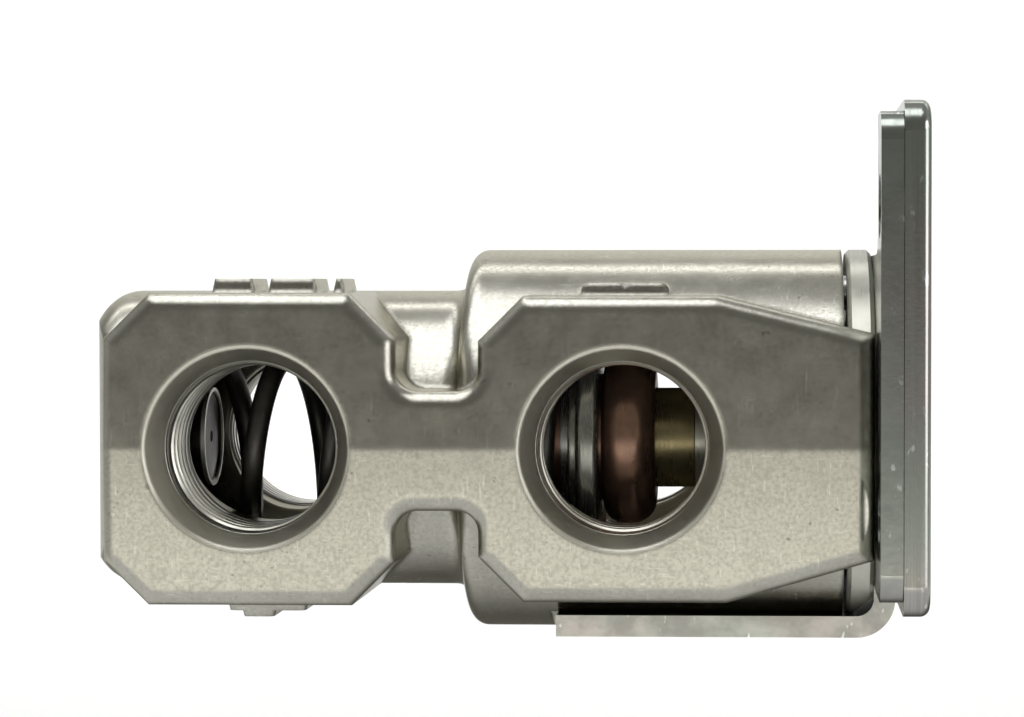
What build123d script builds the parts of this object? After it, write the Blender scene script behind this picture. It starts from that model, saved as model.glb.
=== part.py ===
from build123d import *
import math
import os

# Thermostatic bypass valve. X runs along the valve, out of the mounting plate.
# Z is up, Y is the port direction. X = 0 is the plate's outer face. Millimetres.

# Valve body casting
left_end_x = -96.7
neck_x = -52.4
body_end_x = -8.9
left_housing_r = 17.45
right_housing_r = 22.3
end_rounding = 4.6
end_plan_r = 29.0
shoulder_rounding = 2.0
port_face_y = 26.4
face_draft_deg = 2.2
face_edge_rounding = 1.8
profile_corner_r = 1.9
notch_corner_r = 2.4

# Port bosses, drawn in the X-Z plane
left_boss_x0 = -91.2
left_boss_x1 = -58.6
left_boss_top = 17.2
left_boss_bottom = -17.6
left_boss_chamfer = 5.1
right_boss_x0 = -49.5
right_boss_x1 = -5.7
right_boss_top = 16.9
right_boss_bottom = -17.0
right_boss_chamfer = 5.0
ear_top_x = -23.0
ear_top_z = 12.7
ear_bottom_x = -22.0
ear_bottom_z = -12.3
web_top = 6.4
web_bottom = -6.9

# Ports
port_xs = [-75.0, -33.6]
port_r = 9.6
port_mouth_r = 11.4
port_mouth_depth = 3.6
port_inner_r = 9.3
port_step_y = 15.0

# Cast pads
top_pads = [(-80.4, 5.9), (-73.4, 6.6), (-67.9, 2.2)]
top_pad_height = 1.4
bottom_pads = [(-73.4, 9.4, 0.7), (-74.4, 4.6, 1.4)]
bottom_pad_width = 45.0
shoulder_pad_x = -33.7
shoulder_pad_length = 9.9
shoulder_pad_y = 15.4
shoulder_pad_z = 18.3
dimple_r = 0.35
dimple_length = 1.6

# Chambers
left_chamber_r = 12.0
left_chamber_x = -91.5
seat_x = -43.9
right_chamber_r = 16.5

# Seat ring
seat_ring_r = 14.15
seat_ring_length = 2.5
seat_hole_r = 11.6
seat_fit = 0.05

# End cap
cap_inner_x = -8.5
cap_outer_x = -5.45
cap_edge = 0.5
ear_clear_r = 22.6
bend_relief = 2.2
spigot_r = 16.4
spigot_x = -14.5
groove_r = 14.0
groove_x0 = -13.0
groove_x1 = -10.2
o_ring_section_r = 1.2
o_ring_mean_r = 15.25
nose_r = 5.9
nose_x = -26.0
nose_bore_r = 4.65
nose_bore_x = -17.5
piston_seat_x = -15.0

# Bracket and mounting plate
leg_top_z = -19.65
sheet = 2.45
leg_half_width = 14.0
leg_end_x = -41.7
flange_x0 = -5.4
flange_x1 = -2.95
flange_half_width = 33.6
flange_top_z = 36.8
flange_wide_z = -16.2
flange_corner_r = 3.2
ear_inner_y = -23.5
ear_root_z = 21.5
ear_root_r = 4.0
bend_outer_r = 4.45
flat_z = -19.6
flat_start_x = -42.5
plate_thickness = 2.9
plate_half_width = 34.0
plate_bottom_z = -17.7
plate_top_z = 38.0
plate_corner_r = 3.5
plate_edge_r = 1.1
plate_hole_r = 3.3
plate_hole_y = 29.5
plate_hole_zs = [-7.2, 26.6]

# Screws
clamp_y = 9.0
clamp_z = 17.2
clamp_r = 2.0
clamp_head_r = 4.0
clamp_head_depth = 2.2
clamp_tip_x = -18.9
clamp_head_x = -0.15
clamp_clear_r = 2.25
thread_fit = 0.05
leg_screw_xs = [-34.0, -19.5]
leg_screw_r = 1.5
leg_screw_head_r = 2.9
leg_screw_head_depth = 1.6
leg_screw_tip_z = -17.4
recess_depth = 1.3

# Moving element
cup_left_x = -52.0
cup_r = 7.5
cup_wall = 0.9
crimp_r = 10.2
crimp_x0 = -36.9
crimp_x1 = -30.7
crimp_rounding = 2.8
crimp_back_rounding = 2.3
crimp_inner_r = 9.3
lip_r = 6.0
lip_wall = 0.9
guide_r = 5.9
guide_flange_r = 9.2
guide_flange_bevel = 2.0
guide_shoulder_x = -26.1
guide_stem_r = 4.6
guide_stem_x = -18.0
piston_r = 1.8
piston_fit = 0.05
disc_x0 = -39.4
disc_x1 = -37.2
disc_r = 13.5
disc_hole_r = 7.6
spring_cup_x0 = -40.6
spring_cup_r = 11.0
spring_cup_gap = 0.1
clip_x0 = -41.6
clip_x1 = -40.7
clip_r = 8.05
clip_groove_r = 7.0
wax_x1 = -36.5
diaphragm_x0 = -35.8
diaphragm_x1 = -35.3
pad_x1 = -34.0

# Return spring
wire_r = 1.25
spring_r = 9.5
spring_x0 = -90.2
spring_x1 = -41.9
closed_pitch = 2.6
active_pitch = 9.2
spring_near_side_x = -76.8
points_per_turn = 12

# Spring post
post_r = 5.85
post_x = -83.7
post_base_r = 8.0
post_base_x = -90.2
post_spigot_r = 2.5
post_spigot_x = -94.0
post_rim = 0.45
post_rim_depth = 0.35
post_dimple_r = 0.7

os.makedirs("parts", exist_ok=True)


def rod_points(x0, x1, radius):
    """Outline of half a round rod, in X and radius."""
    return [(x0, 0), (x1, 0), (x1, radius), (x0, radius)]


def ring_points(x0, x1, inner, outer):
    """Outline of a ring's section, in X and radius."""
    return [(x0, inner), (x1, inner), (x1, outer), (x0, outer)]


# ---------------------------------------------------------------- valve body
draft_drop = left_housing_r * math.tan(math.radians(face_draft_deg))
boss_outline = [
    (left_boss_x0, left_boss_top - left_boss_chamfer),
    (left_boss_x0 + left_boss_chamfer, left_boss_top),
    (left_boss_x1 - left_boss_chamfer, left_boss_top),
    (left_boss_x1, left_boss_top - left_boss_chamfer),
    (left_boss_x1, web_top),
    (right_boss_x0, web_top),
    (right_boss_x0, right_boss_top - right_boss_chamfer),
    (right_boss_x0 + right_boss_chamfer, right_boss_top),
    (ear_top_x, right_boss_top),
    (right_boss_x1, ear_top_z),
    (right_boss_x1, ear_bottom_z),
    (ear_bottom_x, right_boss_bottom),
    (right_boss_x0 + right_boss_chamfer, right_boss_bottom),
    (right_boss_x0, right_boss_bottom + right_boss_chamfer),
    (right_boss_x0, web_bottom),
    (left_boss_x1, web_bottom),
    (left_boss_x1, left_boss_bottom + left_boss_chamfer),
    (left_boss_x1 - left_boss_chamfer, left_boss_bottom),
    (left_boss_x0 + left_boss_chamfer, left_boss_bottom),
    (left_boss_x0, left_boss_bottom + left_boss_chamfer),
]
side_outline = [
    (-port_face_y, 0),
    (draft_drop - port_face_y, left_housing_r),
    (port_face_y - draft_drop, left_housing_r),
    (port_face_y, 0),
    (port_face_y - draft_drop, -left_housing_r),
    (draft_drop - port_face_y, -left_housing_r),
]
housing_outline = [
    (left_end_x, 0),
    (left_end_x, left_housing_r),
    (neck_x, left_housing_r),
    (neck_x, right_housing_r),
    (body_end_x, right_housing_r),
    (body_end_x, 0),
]

# The two round housings. The left end bulges in plan, so an upright drum trims it.
with BuildPart() as round_housings:
    with BuildSketch(Plane.XZ) as housing_sketch:
        with BuildLine():
            Polyline(*housing_outline, close=True)
        make_face()
        end_corner = housing_sketch.vertices().filter_by(
            lambda v: abs(v.X - left_end_x) < 0.01 and v.Y > 1
        )
        fillet(end_corner, end_rounding)
        neck_corners = housing_sketch.vertices().filter_by(
            lambda v: abs(v.X - neck_x) < 0.01
        )
        fillet(neck_corners, shoulder_rounding)
    revolve(axis=Axis.X)
    with BuildSketch(Plane.XY):
        with Locations((left_end_x + end_plan_r, 0)):
            Circle(end_plan_r)
        with Locations((left_end_x + end_plan_r + 60, 0)):
            Rectangle(120, 120)
    extrude(amount=40, both=True, mode=Mode.INTERSECT)

with BuildPart() as valve_body:
    # The port bosses and the web between them, through the full width.
    with BuildSketch(Plane.XZ) as boss_sketch:
        with BuildLine():
            Polyline(*boss_outline, close=True)
        make_face()
        inner_corners = boss_sketch.vertices().filter_by(
            lambda v: web_bottom - 0.01 < v.Y < web_top + 0.01
        )
        outer_corners = boss_sketch.vertices().filter_by(
            lambda v: v.Y > web_top + 0.01 or v.Y < web_bottom - 0.01
        )
        fillet(inner_corners, notch_corner_r)
        fillet(outer_corners, profile_corner_r)
    extrude(amount=port_face_y + 1, both=True)
    # Faces drafted away from the parting line at Z = 0.
    with BuildSketch(Plane.YZ.offset(left_end_x)):
        with BuildLine():
            Polyline(*side_outline, close=True)
        make_face()
    extrude(amount=-left_end_x, mode=Mode.INTERSECT)
    port_faces = valve_body.faces().filter_by(
        lambda f: abs(f.normal_at().Y) > 0.99
    )
    outline_edges = port_faces.edges().filter_by(
        lambda e: abs(e.center().Z) > 0.01
    )
    fillet(outline_edges, face_edge_rounding)
    add(round_housings.part)
    # Cast pads on the housings.
    with BuildSketch(Plane.XY.offset(left_housing_r - 2)):
        for pad_x, pad_length in top_pads:
            with Locations((pad_x, 0)):
                RectangleRounded(pad_length, 11, 0.9)
    extrude(amount=2 + top_pad_height, taper=12)
    for pad_x, pad_length, pad_height in bottom_pads:
        with BuildSketch(Plane.XY.offset(left_boss_bottom + 1)):
            with Locations((pad_x, 0)):
                RectangleRounded(pad_length, bottom_pad_width, 1.2)
        extrude(amount=-1 - pad_height, taper=14)
    # Square pads on the right housing's shoulders, with a dimple on top.
    with BuildSketch(Plane.XZ) as pad_sketch:
        with Locations((shoulder_pad_x, shoulder_pad_z - 4)):
            RectangleRounded(shoulder_pad_length, 8, 0.9)
    extrude(amount=shoulder_pad_y, both=True)
    for side in (-1, 1):
        pad_end = Plane(
            origin=(0, side * shoulder_pad_y, 0), x_dir=(1, 0, 0), z_dir=(0, side, 0)
        )
        with BuildSketch(pad_end):
            with Locations((shoulder_pad_x, -side * shoulder_pad_z)):
                Circle(dimple_r)
        extrude(amount=-dimple_length, mode=Mode.SUBTRACT)
    # Chambers.
    with BuildSketch(Plane.YZ.offset(left_chamber_x)):
        Circle(left_chamber_r)
    extrude(amount=seat_x - left_chamber_x, mode=Mode.SUBTRACT)
    with BuildSketch(Plane.YZ.offset(seat_x)):
        Circle(right_chamber_r)
    extrude(amount=body_end_x - seat_x, mode=Mode.SUBTRACT)
    with BuildSketch(Plane.YZ.offset(seat_x - seat_ring_length)):
        Circle(seat_ring_r + seat_fit)
    extrude(amount=seat_ring_length, mode=Mode.SUBTRACT)
    # Room for the end cap between the ears.
    with BuildSketch(Plane.YZ.offset(body_end_x)):
        Circle(ear_clear_r)
    extrude(amount=-body_end_x, mode=Mode.SUBTRACT)
    # Ports with a countersunk mouth, front and back.
    for side in (-1, 1):
        face_plane = Plane(
            origin=(0, side * port_face_y, 0), x_dir=(1, 0, 0), z_dir=(0, side, 0)
        )
        for port_x in port_xs:
            with BuildSketch(face_plane):
                with Locations((port_x, 0)):
                    Circle(port_r)
            extrude(amount=port_step_y - port_face_y, mode=Mode.SUBTRACT)
            with BuildSketch(face_plane):
                with Locations((port_x, 0)):
                    Circle(port_inner_r)
            extrude(amount=-port_face_y, mode=Mode.SUBTRACT)
            with Locations(face_plane * Pos(port_x, 0, -port_mouth_depth / 2)):
                Cone(
                    bottom_radius=port_r,
                    top_radius=port_mouth_r,
                    height=port_mouth_depth,
                    mode=Mode.SUBTRACT,
                )
    # Flat for the bracket's leg.
    with BuildSketch(Plane.XY.offset(flat_z)):
        with Locations(((flat_start_x + body_end_x) / 2, 0)):
            Rectangle(body_end_x - flat_start_x, 60)
    extrude(amount=-5, mode=Mode.SUBTRACT)
    # Holes for the clamp screws and the leg screws, and for the post.
    with BuildSketch(Plane.YZ.offset(body_end_x)):
        with Locations((-clamp_y, clamp_z), (clamp_y, clamp_z)):
            Circle(clamp_r + thread_fit)
    extrude(amount=clamp_tip_x - 0.3 - body_end_x, mode=Mode.SUBTRACT)
    with BuildSketch(Plane.XY.offset(flat_z)):
        for screw_x in leg_screw_xs:
            with Locations((screw_x, 0)):
                Circle(leg_screw_r + thread_fit)
    extrude(amount=leg_screw_tip_z + 0.2 - flat_z, mode=Mode.SUBTRACT)
    with BuildSketch(Plane.YZ.offset(left_chamber_x)):
        Circle(post_spigot_r + 0.05)
    extrude(amount=post_spigot_x - 0.2 - left_chamber_x, mode=Mode.SUBTRACT)
valve_body.part.label = "valve_body"
export_step(valve_body.part, "parts/valve_body.step")

# ------------------------------------------------------------- seat ring
with BuildPart() as valve_seat_ring:
    with BuildSketch(Plane.XZ):
        Polygon(
            *ring_points(seat_x - seat_ring_length + 0.05, seat_x, seat_hole_r, seat_ring_r),
            align=None,
        )
    revolve(axis=Axis.X)
    rim = valve_seat_ring.edges().filter_by(GeomType.CIRCLE).sort_by(Axis.X)[-2:]
    chamfer(rim, 0.4)
valve_seat_ring.part.label = "valve_seat_ring"
export_step(valve_seat_ring.part, "parts/valve_seat_ring.step")

# --------------------------------------------------------------- end cap
cap_outline = [
    (spigot_x, 0),
    (spigot_x, spigot_r),
    (groove_x0, spigot_r),
    (groove_x0, groove_r),
    (groove_x1, groove_r),
    (groove_x1, spigot_r),
    (cap_inner_x, spigot_r),
    (cap_inner_x, right_housing_r - cap_edge),
    (cap_inner_x + cap_edge, right_housing_r),
    (cap_outer_x - cap_edge, right_housing_r),
    (cap_outer_x, right_housing_r - cap_edge),
    (cap_outer_x, 0),
]

with BuildPart() as end_cap:
    with BuildSketch(Plane.XZ):
        Polygon(*cap_outline, align=None)
    revolve(axis=Axis.X)
    with BuildSketch(Plane.YZ.offset(nose_x)):
        Circle(nose_r)
    extrude(amount=spigot_x - nose_x)
    with BuildSketch(Plane.YZ.offset(nose_x)):
        Circle(nose_bore_r)
    extrude(amount=nose_bore_x - nose_x, mode=Mode.SUBTRACT)
    with BuildSketch(Plane.YZ.offset(nose_bore_x)):
        Circle(piston_r + piston_fit)
    extrude(amount=piston_seat_x - nose_bore_x, mode=Mode.SUBTRACT)
    # Flat and bevel at the bottom, clear of the leg and its bend.
    with BuildSketch(Plane.XY.offset(flat_z)):
        with Locations((-6, 0)):
            Rectangle(12, 60)
    extrude(amount=-5, mode=Mode.SUBTRACT)
    with BuildSketch(Plane.XZ):
        Polygon(
            (cap_outer_x, flat_z + bend_relief),
            (cap_outer_x, flat_z - 5),
            (cap_outer_x - bend_relief - 5, flat_z - 5),
            align=None,
        )
    extrude(amount=right_housing_r, both=True, mode=Mode.SUBTRACT)
    with BuildSketch(Plane.YZ.offset(cap_outer_x)):
        with Locations((-clamp_y, clamp_z), (clamp_y, clamp_z)):
            Circle(clamp_clear_r)
    extrude(amount=cap_inner_x - 1 - cap_outer_x, mode=Mode.SUBTRACT)
end_cap.part.label = "end_cap"
export_step(end_cap.part, "parts/end_cap.step")

with BuildPart() as cap_o_ring:
    with BuildSketch(Plane.XZ):
        with Locations(((groove_x0 + groove_x1) / 2, o_ring_mean_r)):
            Circle(o_ring_section_r)
    revolve(axis=Axis.X)
cap_o_ring.part.label = "cap_o_ring"
export_step(cap_o_ring.part, "parts/cap_o_ring.step")

# --------------------------------------------------------------- bracket
leg_bottom_z = leg_top_z - sheet
bracket_outline = [
    (leg_end_x, leg_bottom_z),
    (flange_x1, leg_bottom_z),
    (flange_x1, flange_top_z),
    (flange_x0, flange_top_z),
    (flange_x0, leg_top_z),
    (leg_end_x, leg_top_z),
]
with BuildPart() as l_bracket:
    with BuildSketch(Plane.XZ) as bracket_sketch:
        with BuildLine():
            Polyline(*bracket_outline, close=True)
        make_face()
        outer_bend = bracket_sketch.vertices().filter_by(
            lambda v: abs(v.X - flange_x1) < 0.01 and abs(v.Y - leg_bottom_z) < 0.01
        )
        fillet(outer_bend, bend_outer_r)
        inner_bend = bracket_sketch.vertices().filter_by(
            lambda v: abs(v.X - flange_x0) < 0.01 and abs(v.Y - leg_top_z) < 0.01
        )
        fillet(inner_bend, bend_outer_r - sheet)
    extrude(amount=leg_half_width, both=True)
    with BuildSketch(Plane.YZ.offset(flange_x0)):
        with Locations((0, (flange_wide_z + flange_top_z) / 2)):
            RectangleRounded(
                2 * flange_half_width, flange_top_z - flange_wide_z, flange_corner_r
            )
    extrude(amount=flange_x1 - flange_x0)
    # Above the cap the flange is cut back to one ear, on the front.
    cut_height = 2 * (flange_top_z - ear_root_z)
    cut_width = 2 * (flange_half_width - ear_inner_y)
    with BuildSketch(Plane.YZ.offset(flange_x0)):
        with Locations((ear_inner_y + cut_width / 2, ear_root_z + cut_height / 2)):
            RectangleRounded(cut_width, cut_height, ear_root_r)
    extrude(amount=flange_x1 - flange_x0, mode=Mode.SUBTRACT)
    with BuildSketch(Plane.YZ.offset(flange_x0)):
        with Locations((-clamp_y, clamp_z), (clamp_y, clamp_z)):
            Circle(clamp_clear_r)
        for hole_z in plate_hole_zs:
            with Locations((-plate_hole_y, hole_z), (plate_hole_y, hole_z)):
                Circle(plate_hole_r + 0.2)
    extrude(amount=flange_x1 - flange_x0, mode=Mode.SUBTRACT)
    for screw_x in leg_screw_xs:
        with Locations(Location((screw_x, 0, leg_bottom_z), (180, 0, 0))):
            CounterSinkHole(
                radius=leg_screw_r + 0.15,
                counter_sink_radius=leg_screw_head_r + 0.15,
                depth=sheet,
            )
l_bracket.part.label = "l_bracket"
export_step(l_bracket.part, "parts/l_bracket.step")

with BuildPart() as mounting_plate:
    with BuildSketch(Plane.YZ.offset(-plate_thickness)):
        with Locations((0, (plate_bottom_z + plate_top_z) / 2)):
            RectangleRounded(
                2 * plate_half_width, plate_top_z - plate_bottom_z, plate_corner_r
            )
    extrude(amount=plate_thickness)
    outer_face = mounting_plate.faces().sort_by(Axis.X)[-1]
    fillet(outer_face.edges(), plate_edge_r)
    with BuildSketch(Plane.YZ):
        for hole_z in plate_hole_zs:
            with Locations((-plate_hole_y, hole_z), (plate_hole_y, hole_z)):
                Circle(plate_hole_r)
    extrude(amount=-plate_thickness, mode=Mode.SUBTRACT)
    for screw_y in (-clamp_y, clamp_y):
        with Locations(Plane(origin=(0, screw_y, clamp_z), z_dir=(1, 0, 0))):
            CounterSinkHole(
                radius=clamp_clear_r,
                counter_sink_radius=clamp_head_r + 0.2,
                depth=plate_thickness,
            )
mounting_plate.part.label = "mounting_plate"
export_step(mounting_plate.part, "parts/mounting_plate.step")

# ---------------------------------------------------------------- screws
with BuildPart() as clamp_screws:
    for screw_y in (-clamp_y, clamp_y):
        head_plane = Plane(origin=(clamp_head_x, screw_y, clamp_z), z_dir=(1, 0, 0))
        with BuildSketch(head_plane.offset(clamp_tip_x - clamp_head_x)):
            Circle(clamp_r)
        extrude(amount=clamp_head_x - clamp_tip_x)
        with Locations(head_plane * Pos(0, 0, -clamp_head_depth / 2)):
            Cone(
                bottom_radius=clamp_r,
                top_radius=clamp_head_r,
                height=clamp_head_depth,
            )
        with BuildSketch(head_plane):
            RegularPolygon(radius=1.45, side_count=6)
        extrude(amount=-recess_depth, mode=Mode.SUBTRACT)
clamp_screws.part.label = "clamp_screws"
export_step(clamp_screws.part, "parts/clamp_screws.step")

with BuildPart() as leg_screws:
    for screw_x in leg_screw_xs:
        head_plane = Plane(
            origin=(screw_x, 0, leg_bottom_z + 0.1), x_dir=(1, 0, 0), z_dir=(0, 0, -1)
        )
        with BuildSketch(head_plane.offset(leg_bottom_z + 0.1 - leg_screw_tip_z)):
            Circle(leg_screw_r)
        extrude(amount=leg_screw_tip_z - leg_bottom_z - 0.1)
        with Locations(head_plane * Pos(0, 0, -leg_screw_head_depth / 2)):
            Cone(
                bottom_radius=leg_screw_r,
                top_radius=leg_screw_head_r,
                height=leg_screw_head_depth,
            )
        with BuildSketch(head_plane):
            RegularPolygon(radius=1.15, side_count=6)
        extrude(amount=-1.0, mode=Mode.SUBTRACT)
leg_screws.part.label = "leg_screws"
export_step(leg_screws.part, "parts/leg_screws.step")

# ----------------------------------------------------------- spring post
post_outline = [
    (post_spigot_x, 0),
    (post_spigot_x, post_spigot_r),
    (left_chamber_x + 0.05, post_spigot_r),
    (left_chamber_x + 0.05, post_base_r),
    (post_base_x, post_base_r),
    (post_base_x, post_r),
    (post_x, post_r),
    (post_x, post_r - post_rim),
    (post_x - post_rim_depth, post_r - post_rim - 0.2),
    (post_x - post_rim_depth, 0),
]
with BuildPart() as spring_post:
    with BuildSketch(Plane.XZ):
        Polygon(*post_outline, align=None)
    revolve(axis=Axis.X)
    with Locations((post_x - post_rim_depth, 0, 0)):
        Sphere(post_dimple_r, mode=Mode.SUBTRACT)
spring_post.part.label = "spring_post"
export_step(spring_post.part, "parts/spring_post.step")

# --------------------------------------------------------- return spring
# Angle 0 is the side towards -Y, and the wire rises to the top as X grows.
closed_length = closed_pitch
active_length = spring_x1 - spring_x0 - 2 * closed_length
active_turns = round(active_length / active_pitch * 4) / 4
total_turns = active_turns + 2
near_turn = 1 + (spring_near_side_x - spring_x0 - closed_length) / active_pitch
spring_points = []
for step in range(int(total_turns * points_per_turn) + 1):
    turn = step / points_per_turn
    into_active = min(max(turn - 1, 0), active_turns)
    into_last = max(turn - 1 - active_turns, 0)
    wire_x = (
        spring_x0
        + closed_pitch * min(turn, 1)
        + active_length / active_turns * into_active
        + closed_pitch * into_last
    )
    angle = 2 * math.pi * (turn - near_turn)
    spring_points.append(
        (wire_x, -spring_r * math.cos(angle), spring_r * math.sin(angle))
    )
with BuildPart() as return_spring:
    with BuildLine() as wire_path:
        Spline(*spring_points)
    with BuildSketch(Plane(origin=wire_path.line @ 0, z_dir=wire_path.line % 0)):
        Circle(wire_r)
    sweep(is_frenet=True)
return_spring.part.label = "return_spring"
export_step(return_spring.part, "parts/return_spring.step")

# -------------------------------------------------------- moving element
cup_outline = [
    (cup_left_x, 0),
    (cup_left_x, cup_r),
    (clip_x0 - 0.1, cup_r),
    (clip_x0 - 0.1, clip_groove_r),
    (clip_x1 + 0.05, clip_groove_r),
    (clip_x1 + 0.05, cup_r),
    (crimp_x0, cup_r),
    (crimp_x0, crimp_r),
    (crimp_x1, crimp_r),
    (crimp_x1, lip_r),
    (crimp_x1 - lip_wall, lip_r),
    (crimp_x1 - lip_wall, crimp_inner_r - 2),
    (crimp_x1 - lip_wall - 2, crimp_inner_r),
    (diaphragm_x0 - 0.1, crimp_inner_r),
    (diaphragm_x0 - 0.1, cup_r - cup_wall),
    (cup_left_x + cup_wall, cup_r - cup_wall),
    (cup_left_x + cup_wall, 0),
]
with BuildPart() as copper_cup:
    with BuildSketch(Plane.XZ) as cup_sketch:
        with BuildLine():
            Polyline(*cup_outline, close=True)
        make_face()
        shoulder = cup_sketch.vertices().filter_by(
            lambda v: abs(v.X - crimp_x1) < 0.01 and abs(v.Y - crimp_r) < 0.01
        )
        fillet(shoulder, crimp_rounding)
        back_corner = cup_sketch.vertices().filter_by(
            lambda v: abs(v.X - crimp_x0) < 0.01 and abs(v.Y - crimp_r) < 0.01
        )
        fillet(back_corner, crimp_back_rounding)
        cup_corner = cup_sketch.vertices().filter_by(
            lambda v: abs(v.X - cup_left_x) < 0.01 and v.Y > 1
        )
        fillet(cup_corner, 0.8)
    revolve(axis=Axis.X)
copper_cup.part.label = "copper_cup"
export_step(copper_cup.part, "parts/copper_cup.step")

guide_outline = [
    (diaphragm_x1 + 0.05, piston_r + piston_fit),
    (guide_stem_x, piston_r + piston_fit),
    (guide_stem_x, guide_stem_r),
    (guide_shoulder_x, guide_stem_r),
    (guide_shoulder_x, guide_r),
    (crimp_x1 - lip_wall - 0.1, guide_r),
    (crimp_x1 - lip_wall - 0.1, guide_flange_r - guide_flange_bevel),
    (crimp_x1 - lip_wall - 0.1 - guide_flange_bevel, guide_flange_r),
    (diaphragm_x1 + 0.05, guide_flange_r),
]
with BuildPart() as brass_guide:
    with BuildSketch(Plane.XZ):
        Polygon(*guide_outline, align=None)
    revolve(axis=Axis.X)
brass_guide.part.label = "brass_guide"
export_step(brass_guide.part, "parts/brass_guide.step")

turned_rods = {
    "wax_charge": rod_points(cup_left_x + cup_wall + 0.05, wax_x1, cup_r - cup_wall - 0.05),
    "diaphragm": rod_points(diaphragm_x0, diaphragm_x1, crimp_inner_r - 0.1),
    "plunger_pad": rod_points(diaphragm_x1 + 0.1, pad_x1, piston_r),
    "piston": rod_points(pad_x1 + 0.1, piston_seat_x - 0.05, piston_r),
    "valve_disc": ring_points(disc_x0, disc_x1, disc_hole_r, disc_r),
}
for name, outline in turned_rods.items():
    with BuildPart() as turned:
        with BuildSketch(Plane.XZ):
            Polygon(*outline, align=None)
        revolve(axis=Axis.X)
        if name == "valve_disc":
            rims = turned.edges().filter_by(GeomType.CIRCLE).filter_by(
                lambda e: e.radius > disc_r - 0.1
            )
            fillet(rims, 0.6)
        if name == "piston":
            tips = turned.edges().filter_by(GeomType.CIRCLE)
            chamfer(tips, 0.3)
    turned.part.label = name
    export_step(turned.part, "parts/" + name + ".step")

spring_cup_outline = [
    (spring_cup_x0, disc_hole_r + 0.1),
    (disc_x0 - spring_cup_gap, disc_hole_r + 0.1),
    (disc_x0 - spring_cup_gap, spring_cup_r),
    (spring_cup_x0, spring_cup_r),
]
with BuildPart() as spring_cup:
    with BuildSketch(Plane.XZ):
        Polygon(*spring_cup_outline, align=None)
    revolve(axis=Axis.X)
    edges_out = spring_cup.edges().filter_by(GeomType.CIRCLE).filter_by(
        lambda e: e.radius > spring_cup_r - 0.1
    )
    fillet(edges_out, 0.3)
spring_cup.part.label = "spring_cup"
export_step(spring_cup.part, "parts/spring_cup.step")

with BuildPart() as disc_retaining_clip:
    with BuildSketch(Plane.YZ.offset(clip_x0)):
        Circle(clip_r)
        Circle(clip_groove_r + 0.1, mode=Mode.SUBTRACT)
        with Locations((0, -clip_r)):
            Rectangle(2.4, 6, mode=Mode.SUBTRACT)
    extrude(amount=clip_x1 - clip_x0)
disc_retaining_clip.part.label = "disc_retaining_clip"
export_step(disc_retaining_clip.part, "parts/disc_retaining_clip.step")
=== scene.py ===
import math

import bpy
import numpy as np
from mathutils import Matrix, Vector


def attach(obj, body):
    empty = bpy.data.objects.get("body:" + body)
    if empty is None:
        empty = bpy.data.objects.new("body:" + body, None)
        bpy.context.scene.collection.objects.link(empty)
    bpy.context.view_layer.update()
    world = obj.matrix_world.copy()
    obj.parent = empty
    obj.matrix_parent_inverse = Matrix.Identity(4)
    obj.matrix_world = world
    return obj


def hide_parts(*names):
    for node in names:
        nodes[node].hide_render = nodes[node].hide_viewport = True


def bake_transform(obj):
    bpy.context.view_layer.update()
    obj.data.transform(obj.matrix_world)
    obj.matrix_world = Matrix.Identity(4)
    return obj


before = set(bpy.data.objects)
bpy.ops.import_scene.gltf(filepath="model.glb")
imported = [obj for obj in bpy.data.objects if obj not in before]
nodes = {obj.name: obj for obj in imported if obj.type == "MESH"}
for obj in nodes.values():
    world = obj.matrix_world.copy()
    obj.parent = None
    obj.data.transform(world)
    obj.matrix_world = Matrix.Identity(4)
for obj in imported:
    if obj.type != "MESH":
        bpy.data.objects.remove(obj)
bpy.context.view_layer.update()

# Thermostatic bypass valve. Metres, in the valve's own frame: X along the valve,
# out of the mounting plate, Z up, -Y towards the front ports.
MM = 0.001
TAU = 2 * math.pi
LEFT_PORT_X = -75.0 * MM
RIGHT_PORT_X = -33.6 * MM
MOUTH_RADIUS = 11.4 * MM

scene = bpy.context.scene


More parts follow.
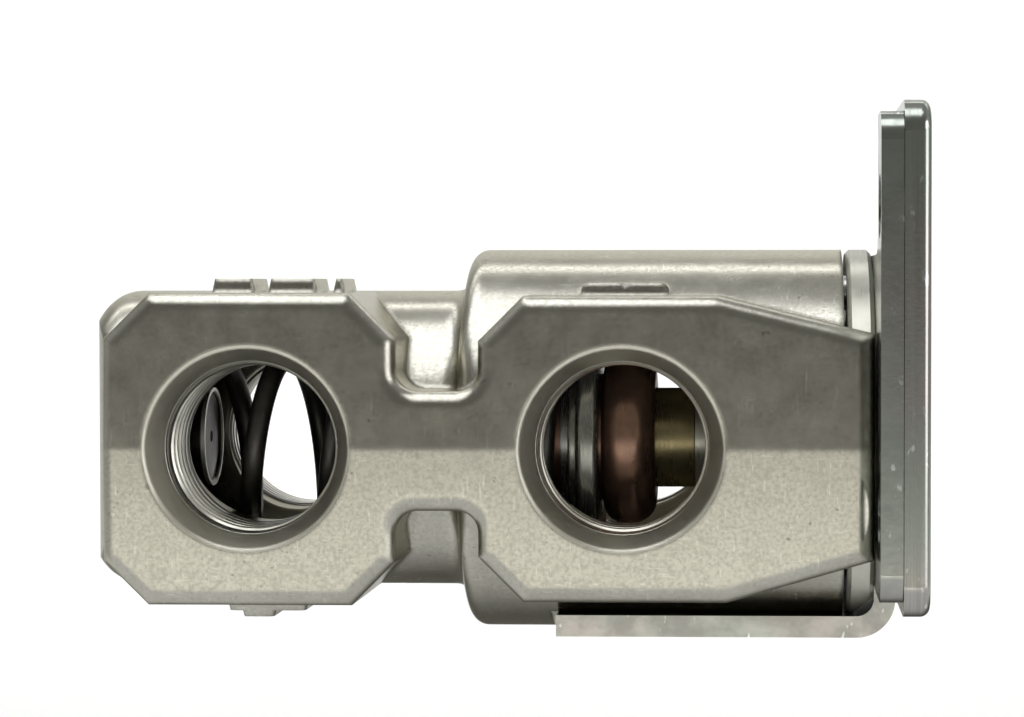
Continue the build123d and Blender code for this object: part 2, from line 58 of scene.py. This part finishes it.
# ------------------------------------------------------------------ shaders
class Shader:
    """A small helper that builds one Principled material node by node."""

    def __init__(self, name):
        self.material = bpy.data.materials.new(name)
        self.material.use_nodes = True
        self.tree = self.material.node_tree
        self.tree.nodes.clear()
        self.out = self.add("ShaderNodeOutputMaterial")
        self.bsdf = self.add("ShaderNodeBsdfPrincipled")
        self.link(self.bsdf.outputs["BSDF"], self.out.inputs["Surface"])
        self.place = self.add("ShaderNodeTexCoord").outputs["Object"]

    def add(self, kind, **settings):
        node = self.tree.nodes.new(kind)
        for key, value in settings.items():
            setattr(node, key, value)
        return node

    def link(self, a, b):
        self.tree.links.new(a, b)

    def put(self, value, socket):
        """A number goes on the socket itself, anything else is linked to it."""
        if isinstance(value, (int, float, tuple)):
            socket.default_value = value
        else:
            self.link(value, socket)

    def sum(self, operation, a, b=0.0, c=0.0, clamp=False):
        """One Math node."""
        node = self.add("ShaderNodeMath", operation=operation, use_clamp=clamp)
        for value, socket in zip((a, b, c), node.inputs):
            self.put(value, socket)
        return node.outputs[0]

    def axes(self):
        node = self.add("ShaderNodeSeparateXYZ")
        self.link(self.place, node.inputs[0])
        return node.outputs

    def near_axis(self, port_x):
        """1 within a port's mouth radius of its axis, along Y, and 0 outside it."""
        reach = self.length(self.stretched((1, 0, 1), location=(-port_x, 0, 0)))
        return self.span(reach, MOUTH_RADIUS - 0.05 * MM, MOUTH_RADIUS + 0.15 * MM, 1.0, 0.0)

    def length(self, vector):
        node = self.add("ShaderNodeVectorMath", operation="LENGTH")
        self.link(vector, node.inputs[0])
        return node.outputs["Value"]

    def stretched(self, scale, location=(0, 0, 0), rotation=(0, 0, 0)):
        """Object coordinates, scaled differently along each axis."""
        node = self.add("ShaderNodeMapping")
        node.inputs["Scale"].default_value = scale
        node.inputs["Location"].default_value = location
        node.inputs["Rotation"].default_value = rotation
        self.link(self.place, node.inputs["Vector"])
        return node.outputs[0]

    def noise(self, scale, detail=4.0, roughness=0.55, vector=None):
        node = self.add("ShaderNodeTexNoise")
        node.inputs["Scale"].default_value = scale
        node.inputs["Detail"].default_value = detail
        node.inputs["Roughness"].default_value = roughness
        self.link(vector or self.place, node.inputs["Vector"])
        return node.outputs["Fac"]

    def span(self, value, low, high, to_low=0.0, to_high=1.0):
        """Value from low..high to to_low..to_high, smooth and clamped."""
        node = self.add("ShaderNodeMapRange", interpolation_type="SMOOTHSTEP")
        self.put(value, node.inputs["Value"])
        node.inputs["From Min"].default_value = low
        node.inputs["From Max"].default_value = high
        node.inputs["To Min"].default_value = to_low
        node.inputs["To Max"].default_value = to_high
        return node.outputs["Result"]

    def tint(self, amount, a, b):
        """Colour a where amount is 0 and b where it is 1."""
        node = self.add("ShaderNodeMix", data_type="RGBA")
        self.put(amount, node.inputs["Factor"])
        for value, socket in ((a, node.inputs["A"]), (b, node.inputs["B"])):
            value = value + (1.0,) if isinstance(value, tuple) else value
            self.put(value, socket)
        return node.outputs["Result"]

    def bump(self, height, depth, strength=1.0, normal=None):
        """Height from 0 to 1 becomes relief of that depth in metres."""
        node = self.add("ShaderNodeBump")
        node.inputs["Strength"].default_value = strength
        node.inputs["Distance"].default_value = depth
        self.put(height, node.inputs["Height"])
        if normal:
            self.link(normal, node.inputs["Normal"])
        return node.outputs["Normal"]

    def finish(self, colour, roughness, metallic=1.0, normal=None, **constants):
        sockets = self.bsdf.inputs
        colour = colour + (1.0,) if isinstance(colour, tuple) else colour
        self.put(colour, sockets["Base Color"])
        self.put(roughness, sockets["Roughness"])
        self.put(metallic, sockets["Metallic"])
        if normal:
            self.link(normal, sockets["Normal"])
        for key, value in constants.items():
            sockets[key.replace("_", " ")].default_value = value
        return self.material


def cast_aluminium():
    """Satin die-cast skin with a warm tint: fine speckle, short scratches, dark pits,
    and rounded inner and outer corners. Port mouths are machined and smoother, and
    painted shade darkens their walls deep inside, towards the chamber."""
    s = Shader("cast_aluminium")
    soft = s.add("ShaderNodeBevel", samples=6)
    soft.inputs["Radius"].default_value = 0.9 * MM
    mottle = s.noise(230, 5, 0.65)
    grain = s.noise(2300, 3, 0.65)
    scratch = s.noise(1, 4, 0.7, vector=s.stretched((420, 420, 3600), rotation=(0, 0.5, 0)))
    cross = s.noise(1, 3, 0.6, vector=s.stretched((3900, 700, 380), rotation=(0, 0.35, 0)))
    lines = s.sum("MAXIMUM", s.span(scratch, 0.60, 0.68), s.span(cross, 0.62, 0.70))
    dots = s.span(s.noise(900, 2, 0.5), 0.68, 0.73)
    specks = s.sum("MULTIPLY", dots, s.span(s.noise(95, 3, 0.6), 0.46, 0.6))
    depth = s.sum("ABSOLUTE", s.axes()[1])
    machined = s.sum("MAXIMUM", s.near_axis(LEFT_PORT_X), s.near_axis(RIGHT_PORT_X))
    # Painted shade: port walls less than 12 to 15 mm from the mid-plane, deep towards the chamber,
    # are marked for darkening.
    inside = s.sum("MULTIPLY", machined, s.span(depth, 12.0 * MM, 15.0 * MM, 1.0, 0.0))
    turning = s.sum("MULTIPLY", machined, s.noise(1, 3, 0.6, vector=s.stretched((60, 5200, 60))))
    colour = s.tint(s.span(mottle, 0.3, 0.7), (0.45, 0.437, 0.385), (0.52, 0.507, 0.45))
    colour = s.tint(s.span(grain, 0.4, 0.7, 0.0, 0.5), colour, (0.36, 0.35, 0.30))
    colour = s.tint(s.sum("MULTIPLY", lines, 0.35), colour, (0.78, 0.76, 0.68))
    colour = s.tint(s.sum("MULTIPLY", specks, 0.55), colour, (0.16, 0.15, 0.125))
    colour = s.tint(machined, colour, (0.74, 0.72, 0.63))
    # Painted shade deep inside the ports: the marked walls are tinted dark.
    colour = s.tint(s.sum("MULTIPLY", inside, 0.85), colour, (0.30, 0.29, 0.245))
    roughness = s.span(mottle, 0.3, 0.7, 0.18, 0.22)
    roughness = s.sum("ADD", roughness, s.span(grain, 0.3, 0.7, 0.0, 0.06))
    roughness = s.sum("ADD", roughness, s.sum("MULTIPLY", machined, 0.14))
    relief = s.bump(grain, 0.00002, 0.09, soft.outputs["Normal"])
    relief = s.bump(turning, 0.00003, 0.5, relief)
    relief = s.bump(s.sum("SUBTRACT", s.span(mottle, 0.2, 0.8), specks), 0.00003, 0.035, relief)
    return s.finish(colour, roughness, 1.0, relief, Specular_Tint=(0.62, 0.61, 0.55, 1))


def thread_cut():
    """Machined aluminium: fine lines around each port's Y axis, oil in patches, and
    painted shade that darkens the thread towards the chamber."""
    s = Shader("thread_cut")
    lines = s.noise(1, 3, 0.6, vector=s.stretched((60, 5200, 60)))
    oil = s.noise(190, 4, 0.6)
    # Painted shade: 1 deeper than 13 mm from the mid-plane, fading to 0 at 19.5 mm.
    depth = s.span(s.sum("ABSOLUTE", s.axes()[1]), 13.0 * MM, 19.5 * MM, 1.0, 0.0)
    colour = s.tint(s.span(oil, 0.35, 0.7), (0.78, 0.765, 0.70), (0.58, 0.565, 0.51))
    # Painted shade: the thread turns dark towards the chamber.
    colour = s.tint(s.sum("MULTIPLY", depth, 0.75), colour, (0.14, 0.135, 0.12))
    relief = s.bump(lines, 0.00003, 0.5)
    return s.finish(colour, s.span(lines, 0.3, 0.7, 0.26, 0.4), 1.0, relief)


def plated_sheet(name, edge_lines):
    """Zinc plate: a faint blue and pink bloom, and shear lines along the sheet's edge."""
    s = Shader(name)
    bloom = s.noise(70, 3, 0.5)
    streaks = s.noise(1, 3, 0.6, vector=s.stretched(edge_lines))
    grain = s.noise(1500, 3, 0.6)
    nicks = s.span(s.noise(1, 2, 0.5, vector=s.stretched((900, 900, 420))), 0.66, 0.72)
    colour = s.tint(s.span(bloom, 0.35, 0.65), (0.39, 0.42, 0.385), (0.43, 0.40, 0.385))
    colour = s.tint(s.span(streaks, 0.40, 0.62, 0.0, 0.35), colour, (0.24, 0.245, 0.23))
    colour = s.tint(s.sum("MULTIPLY", nicks, 0.6), colour, (0.85, 0.88, 0.86))
    roughness = s.span(streaks, 0.3, 0.7, 0.14, 0.24)
    relief = s.bump(streaks, 0.00003, 0.4)
    relief = s.bump(grain, 0.00002, 0.25, relief)
    return s.finish(colour, roughness, 1.0, relief, Specular_Tint=(0.7, 0.7, 0.68, 1))


def turned(name, dark, light, rough=(0.18, 0.30)):
    """Lathe-turned metal: fine rings about X and a soft tarnish."""
    s = Shader(name)
    rings = s.noise(1, 2, 0.5, vector=s.stretched((4200, 40, 40)))
    tarnish = s.noise(210, 4, 0.6)
    colour = s.tint(s.span(tarnish, 0.3, 0.7), dark, light)
    roughness = s.span(rings, 0.2, 0.8, rough[0], rough[1])
    roughness = s.sum("ADD", roughness, s.span(tarnish, 0.3, 0.7, 0.0, 0.06))
    relief = s.bump(rings, 0.00001, 0.12)
    return s.finish(colour, roughness, 0.82, relief, Specular_Tint=(0.5, 0.5, 0.5, 1))


def post_finish():
    """Dark turned steel, with a painted highlight ring on the raised rim and a painted highlight
    dot at the centre of its end face.
    """
    s = Shader("post_steel")
    tarnish = s.noise(210, 4, 0.6)
    reach = s.length(s.stretched((0, 1, 1)))
    # Painted highlight: a near-white ring at the end face's rim and a near-white dot at its centre.
    at_end = s.span(s.axes()[0], -84.3 * MM, -84.1 * MM)
    edge = s.span(reach, 5.2 * MM, 5.35 * MM)
    centre = s.span(reach, 0.5 * MM, 0.7 * MM, 1.0, 0.0)
    rim = s.sum("MAXIMUM", edge, centre)
    painted_highlight = s.sum("MULTIPLY", rim, at_end)
    colour = s.tint(tarnish, (0.05, 0.05, 0.047), (0.085, 0.085, 0.08))
    colour = s.tint(painted_highlight, colour, (0.86, 0.84, 0.78))
    roughness = s.sum("ADD", s.span(tarnish, 0.3, 0.7, 0.28, 0.36), s.sum("MULTIPLY", painted_highlight, 0.15))
    return s.finish(colour, roughness, 1.0, s.bump(tarnish, 0.00002, 0.2))


def rubber(name, colour):
    """Moulded rubber with a faint grain."""
    s = Shader(name)
    grain = s.noise(900, 3, 0.5)
    shade = s.tint(s.span(grain, 0.3, 0.7), colour, tuple(c * 1.6 for c in colour))
    return s.finish(shade, s.span(grain, 0.3, 0.7, 0.42, 0.55), 0.0, s.bump(grain, 0.00003, 0.4))


def waxy(name, dark, light):
    """Pressed wax or nylon with soft clouds."""
    s = Shader(name)
    clouds = s.noise(260, 4, 0.6)
    roughness = s.span(clouds, 0.3, 0.7, 0.4, 0.5)
    return s.finish(s.tint(clouds, dark, light), roughness, 0.0, s.bump(clouds, 0.00005, 0.4))


ALUMINIUM = cast_aluminium()
THREAD = thread_cut()
ZINC = plated_sheet("zinc_plate", (1900, 60, 25))
FINISHES = {
    "valve_body": ALUMINIUM,
    "end_cap": turned("cap_aluminium", (0.56, 0.55, 0.49), (0.66, 0.65, 0.58), (0.24, 0.34)),
    "cap_o_ring": rubber("o_ring_rubber", (0.012, 0.012, 0.012)),
    "l_bracket": plated_sheet("zinc_bracket", (240, 60, 240)),
    "mounting_plate": ZINC,
    "clamp_screws": turned("screw_steel", (0.42, 0.42, 0.42), (0.56, 0.56, 0.55)),
    "valve_seat_ring": turned("seat_brass", (0.20, 0.16, 0.09), (0.30, 0.24, 0.13)),
    "spring_post": post_finish(),
    "valve_disc": turned("disc_steel", (0.26, 0.26, 0.24), (0.40, 0.40, 0.37), (0.2, 0.3)),
    "copper_cup": turned("copper", (0.24, 0.15, 0.115), (0.42, 0.25, 0.18), (0.24, 0.34)),
    "brass_guide": turned("guide_brass", (0.24, 0.20, 0.11), (0.38, 0.32, 0.17), (0.22, 0.32)),
    "wax_charge": waxy("wax", (0.50, 0.36, 0.18), (0.66, 0.50, 0.28)),
    "diaphragm": rubber("diaphragm_rubber", (0.02, 0.02, 0.02)),
    "plunger_pad": waxy("pad_nylon", (0.62, 0.61, 0.57), (0.76, 0.75, 0.70)),
    "piston": turned("piston_steel", (0.52, 0.52, 0.52), (0.64, 0.64, 0.64), (0.12, 0.2)),
}
FINISHES["leg_screws"] = FINISHES["clamp_screws"]
FINISHES["disc_retaining_clip"] = FINISHES["clamp_screws"]
FINISHES["spring_cup"] = FINISHES["valve_disc"]
SPRING_STEEL = turned("spring_steel", (0.075, 0.073, 0.07), (0.13, 0.128, 0.12), (0.32, 0.42))


# ------------------------------------------------------------------- meshes
def mesh_from_grid(name, points, closed_u=True, closed_v=False, caps=False):
    """A mesh from an array of points [u, v, xyz], joined into quads along both ways.
    A closed way joins its last row to its first. Caps fill the two open v ends."""
    count_u, count_v = points.shape[:2]
    index = np.arange(count_u * count_v).reshape(count_u, count_v)
    across = np.vstack([index, index[:1]]) if closed_u else index
    grid = np.hstack([across, across[:, :1]]) if closed_v else across
    quads = np.stack([grid[:-1, :-1], grid[1:, :-1], grid[1:, 1:], grid[:-1, 1:]], axis=-1)
    faces = quads.reshape(-1, 4).tolist()
    if caps:
        faces.append(index[::-1, 0].tolist())
        faces.append(index[:, -1].tolist())
    mesh = bpy.data.meshes.new(name)
    mesh.from_pydata(points.reshape(-1, 3).tolist(), [], faces)
    mesh.validate()
    mesh.shade_smooth()
    piece = bpy.data.objects.new(name, mesh)
    scene.collection.objects.link(piece)
    return piece


def wire_along(path, radius, sides=20):
    """A round wire: at each path point a ring of the given radius, square to the path.
    The ring's two axes are the side vector towards the valve's axis and its cross
    product with the path's direction."""
    ahead = np.gradient(path, axis=0)
    ahead /= np.linalg.norm(ahead, axis=1, keepdims=True)
    side = path * np.array([0.0, 1.0, 1.0])
    side -= ahead * np.sum(side * ahead, axis=1, keepdims=True)
    side /= np.linalg.norm(side, axis=1, keepdims=True)
    up = np.cross(ahead, side)
    angle = np.linspace(0, TAU, sides, endpoint=False)[:, None, None]
    return path + radius * (np.cos(angle) * side + np.sin(angle) * up)


def return_spring():
    """Compression spring about X, with closed ends. The turn number t runs along the wire.
    X rises by the closed pitch per turn in the first and last turn and by the active
    pitch between, and the wire stands at the spring's radius at angle 2 pi t."""
    closed_pitch, active_pitch = 2.6 * MM, 9.2 * MM
    start, end, radius, wire = -90.2 * MM, -41.9 * MM, 9.5 * MM, 1.25 * MM
    near_side = -76.8 * MM
    active_length = end - start - 2 * closed_pitch
    active_turns = round(active_length / active_pitch * 4) / 4
    near_turn = 1 + (near_side - start - closed_pitch) / active_pitch
    turn = np.linspace(0, active_turns + 2, 720)
    x = start + closed_pitch * np.clip(turn, 0, 1)
    x += active_length / active_turns * np.clip(turn - 1, 0, active_turns)
    x += closed_pitch * np.clip(turn - 1 - active_turns, 0, 1)
    ease = np.hanning(41)
    padded = np.pad(x, 20, mode="reflect", reflect_type="odd")
    x = np.convolve(padded, ease / ease.sum(), mode="valid")
    angle = TAU * (turn - near_turn)
    path = np.stack([x, -radius * np.cos(angle), radius * np.sin(angle)], axis=-1)
    piece = mesh_from_grid("return_spring_wire", wire_along(path, wire), caps=True)
    piece.data.materials.append(SPRING_STEEL)
    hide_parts("return_spring")
    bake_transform(piece)


def port_thread(name, port_x, side, inner_y):
    """Tapered pipe thread cut in a port's wall, as a thin sleeve. Its inside radius is the
    port's radius, less the taper, less the ridge height times a clipped triangle wave of
    y over the pitch plus the angle over a full turn. The ridge fades out at both ends."""
    pitch, height, taper = 1.814 * MM, 0.42 * MM, 1 / 32
    outer_y, wall_r, back_r = 22.9 * MM, 9.62 * MM, 9.75 * MM
    y = np.linspace(inner_y, outer_y, 150)
    angle = np.linspace(0, TAU, 180, endpoint=False)[:, None]
    phase = (y / pitch + side * angle / TAU) % 1
    ridge = np.clip(2.6 * (1 - np.abs(2 * phase - 1)) - 0.6, 0, 1)
    fade = np.clip((outer_y - y) / pitch, 0, 1) * np.clip((y - inner_y) / (0.3 * pitch), 0, 1)
    inside = wall_r - taper * (outer_y - y) * 0.6 - height * ridge * fade
    radius = np.concatenate([inside, np.full((180, 2), back_r)], axis=1)
    along = side * np.concatenate([y, [outer_y, inner_y]])
    points = np.stack(np.broadcast_arrays(
        port_x + radius * np.cos(angle), along[None, :], radius * np.sin(angle)), axis=-1)
    piece = mesh_from_grid(name, points if side > 0 else points[:, ::-1], closed_v=True)
    piece.data.materials.append(THREAD)
    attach(piece, "housing")


for name, material in FINISHES.items():
    for material_slot in nodes[name].material_slots:
        material_slot.material = material

return_spring()
for port, port_x, inner_y in (("left", LEFT_PORT_X, 12.2 * MM), ("right", RIGHT_PORT_X, 16.7 * MM)):
    port_thread("thread_" + port + "_front", port_x, -1, inner_y)
    port_thread("thread_" + port + "_back", port_x, 1, inner_y)


# ------------------------------------------------------- floor, light, camera
def stage_sheet():
    """Pale floor that curves up into a backdrop: flat, then a quarter circle, then upright."""
    bend = np.linspace(0, math.pi / 2, 24)
    y = np.concatenate([[-5.0, -1.0], 0.9 + 0.5 * np.sin(bend), [1.4]])
    z = np.concatenate([[0.0, 0.0], 0.5 - 0.5 * np.cos(bend), [1.6]]) - 0.085
    x = np.linspace(-3.0, 3.0, 3)
    points = np.stack(np.broadcast_arrays(x[:, None], y[None, :], z[None, :]), axis=-1)
    sheet = mesh_from_grid("stage_sheet", points, closed_u=False)
    sheet.data.materials.append(white_sheet())


def white_sheet():
    """Matt white paper with the faintest unevenness, and a painted shadow: a soft darker
    patch below and behind the valve."""
    s = Shader("white_sheet")
    shade = s.tint(s.noise(3, 2, 0.5), (0.90, 0.90, 0.90), (0.94, 0.94, 0.94))
    # Painted shadow: the sheet darkens to 0.17 in a soft oval patch centred 0.14 m behind the
    # valve.
    away = s.length(s.stretched((0.6, 1, 0), (0, -0.14, 0)))
    painted_shadow = s.span(away, 0.09, 0.17, 1.0, 0.0)
    shade = s.tint(painted_shadow, shade, (0.17, 0.165, 0.155))
    return s.finish(shade, 0.8, 0.0)


def soft_light(name, place, aim, size, power, colour=(1, 1, 1)):
    """A rectangular soft box at place, turned towards aim."""
    data = bpy.data.lights.new(name, "AREA")
    data.shape = "RECTANGLE"
    data.size, data.size_y = size
    data.energy = power
    data.color = colour
    lamp = bpy.data.objects.new(name, data)
    lamp.location = place
    lamp.rotation_euler = (Vector(aim) - Vector(place)).to_track_quat("-Z", "Y").to_euler()
    lamp.visible_camera = False
    scene.collection.objects.link(lamp)


def room():
    """The room's own light: dim in front above the horizon, brighter to the sides and behind."""
    world = bpy.data.worlds.new("studio")
    world.use_nodes = True
    tree = world.node_tree
    place = tree.nodes.new("ShaderNodeTexCoord")
    split = tree.nodes.new("ShaderNodeSeparateXYZ")
    tree.links.new(place.outputs["Generated"], split.inputs[0])
    front = tree.nodes.new("ShaderNodeMapRange")
    front.interpolation_type = "SMOOTHSTEP"
    front.inputs["From Min"].default_value = -0.75
    front.inputs["From Max"].default_value = 0.1
    tree.links.new(split.outputs["Y"], front.inputs["Value"])
    blend = tree.nodes.new("ShaderNodeMix")
    blend.data_type = "RGBA"
    tree.links.new(front.outputs["Result"], blend.inputs["Factor"])
    blend.inputs["A"].default_value = (0.175, 0.172, 0.155, 1)
    blend.inputs["B"].default_value = (0.42, 0.42, 0.41, 1)
    tree.links.new(blend.outputs["Result"], tree.nodes["Background"].inputs["Color"])
    scene.world = world


stage_sheet()
room()
soft_light("top_box", (-0.20, -0.12, 0.60), (-0.05, 0, 0), (0.7, 0.44), 2.2, (0.97, 0.98, 1.0))
soft_light("low_card", (-0.10, -0.43, -0.083), (-0.10, -0.4301, 1), (1.0, 0.34), 1.12,
           (1.0, 0.97, 0.83))
soft_light("side_box", (0.55, -0.30, 0.10), (0, 0, 0), (0.35, 0.5), 1.2)
soft_light("back_box", (0.0, 0.70, 0.92), (0, 1.4, 0.12), (1.7, 0.62), 12.6)
scene.view_settings.view_transform = "Standard"

lens = bpy.data.cameras.new("camera")
lens.lens = 98.06
lens.sensor_width = 36
lens.shift_x = -0.16
lens.clip_start = 0.01
lens.clip_end = 20
camera = bpy.data.objects.new("camera", lens)
camera.location = (-17.03 * MM, -331.4 * MM, 17.9 * MM)
camera.rotation_euler = (math.radians(90 - 1.476), 0, math.radians(1.973))
scene.collection.objects.link(camera)
scene.camera = camera
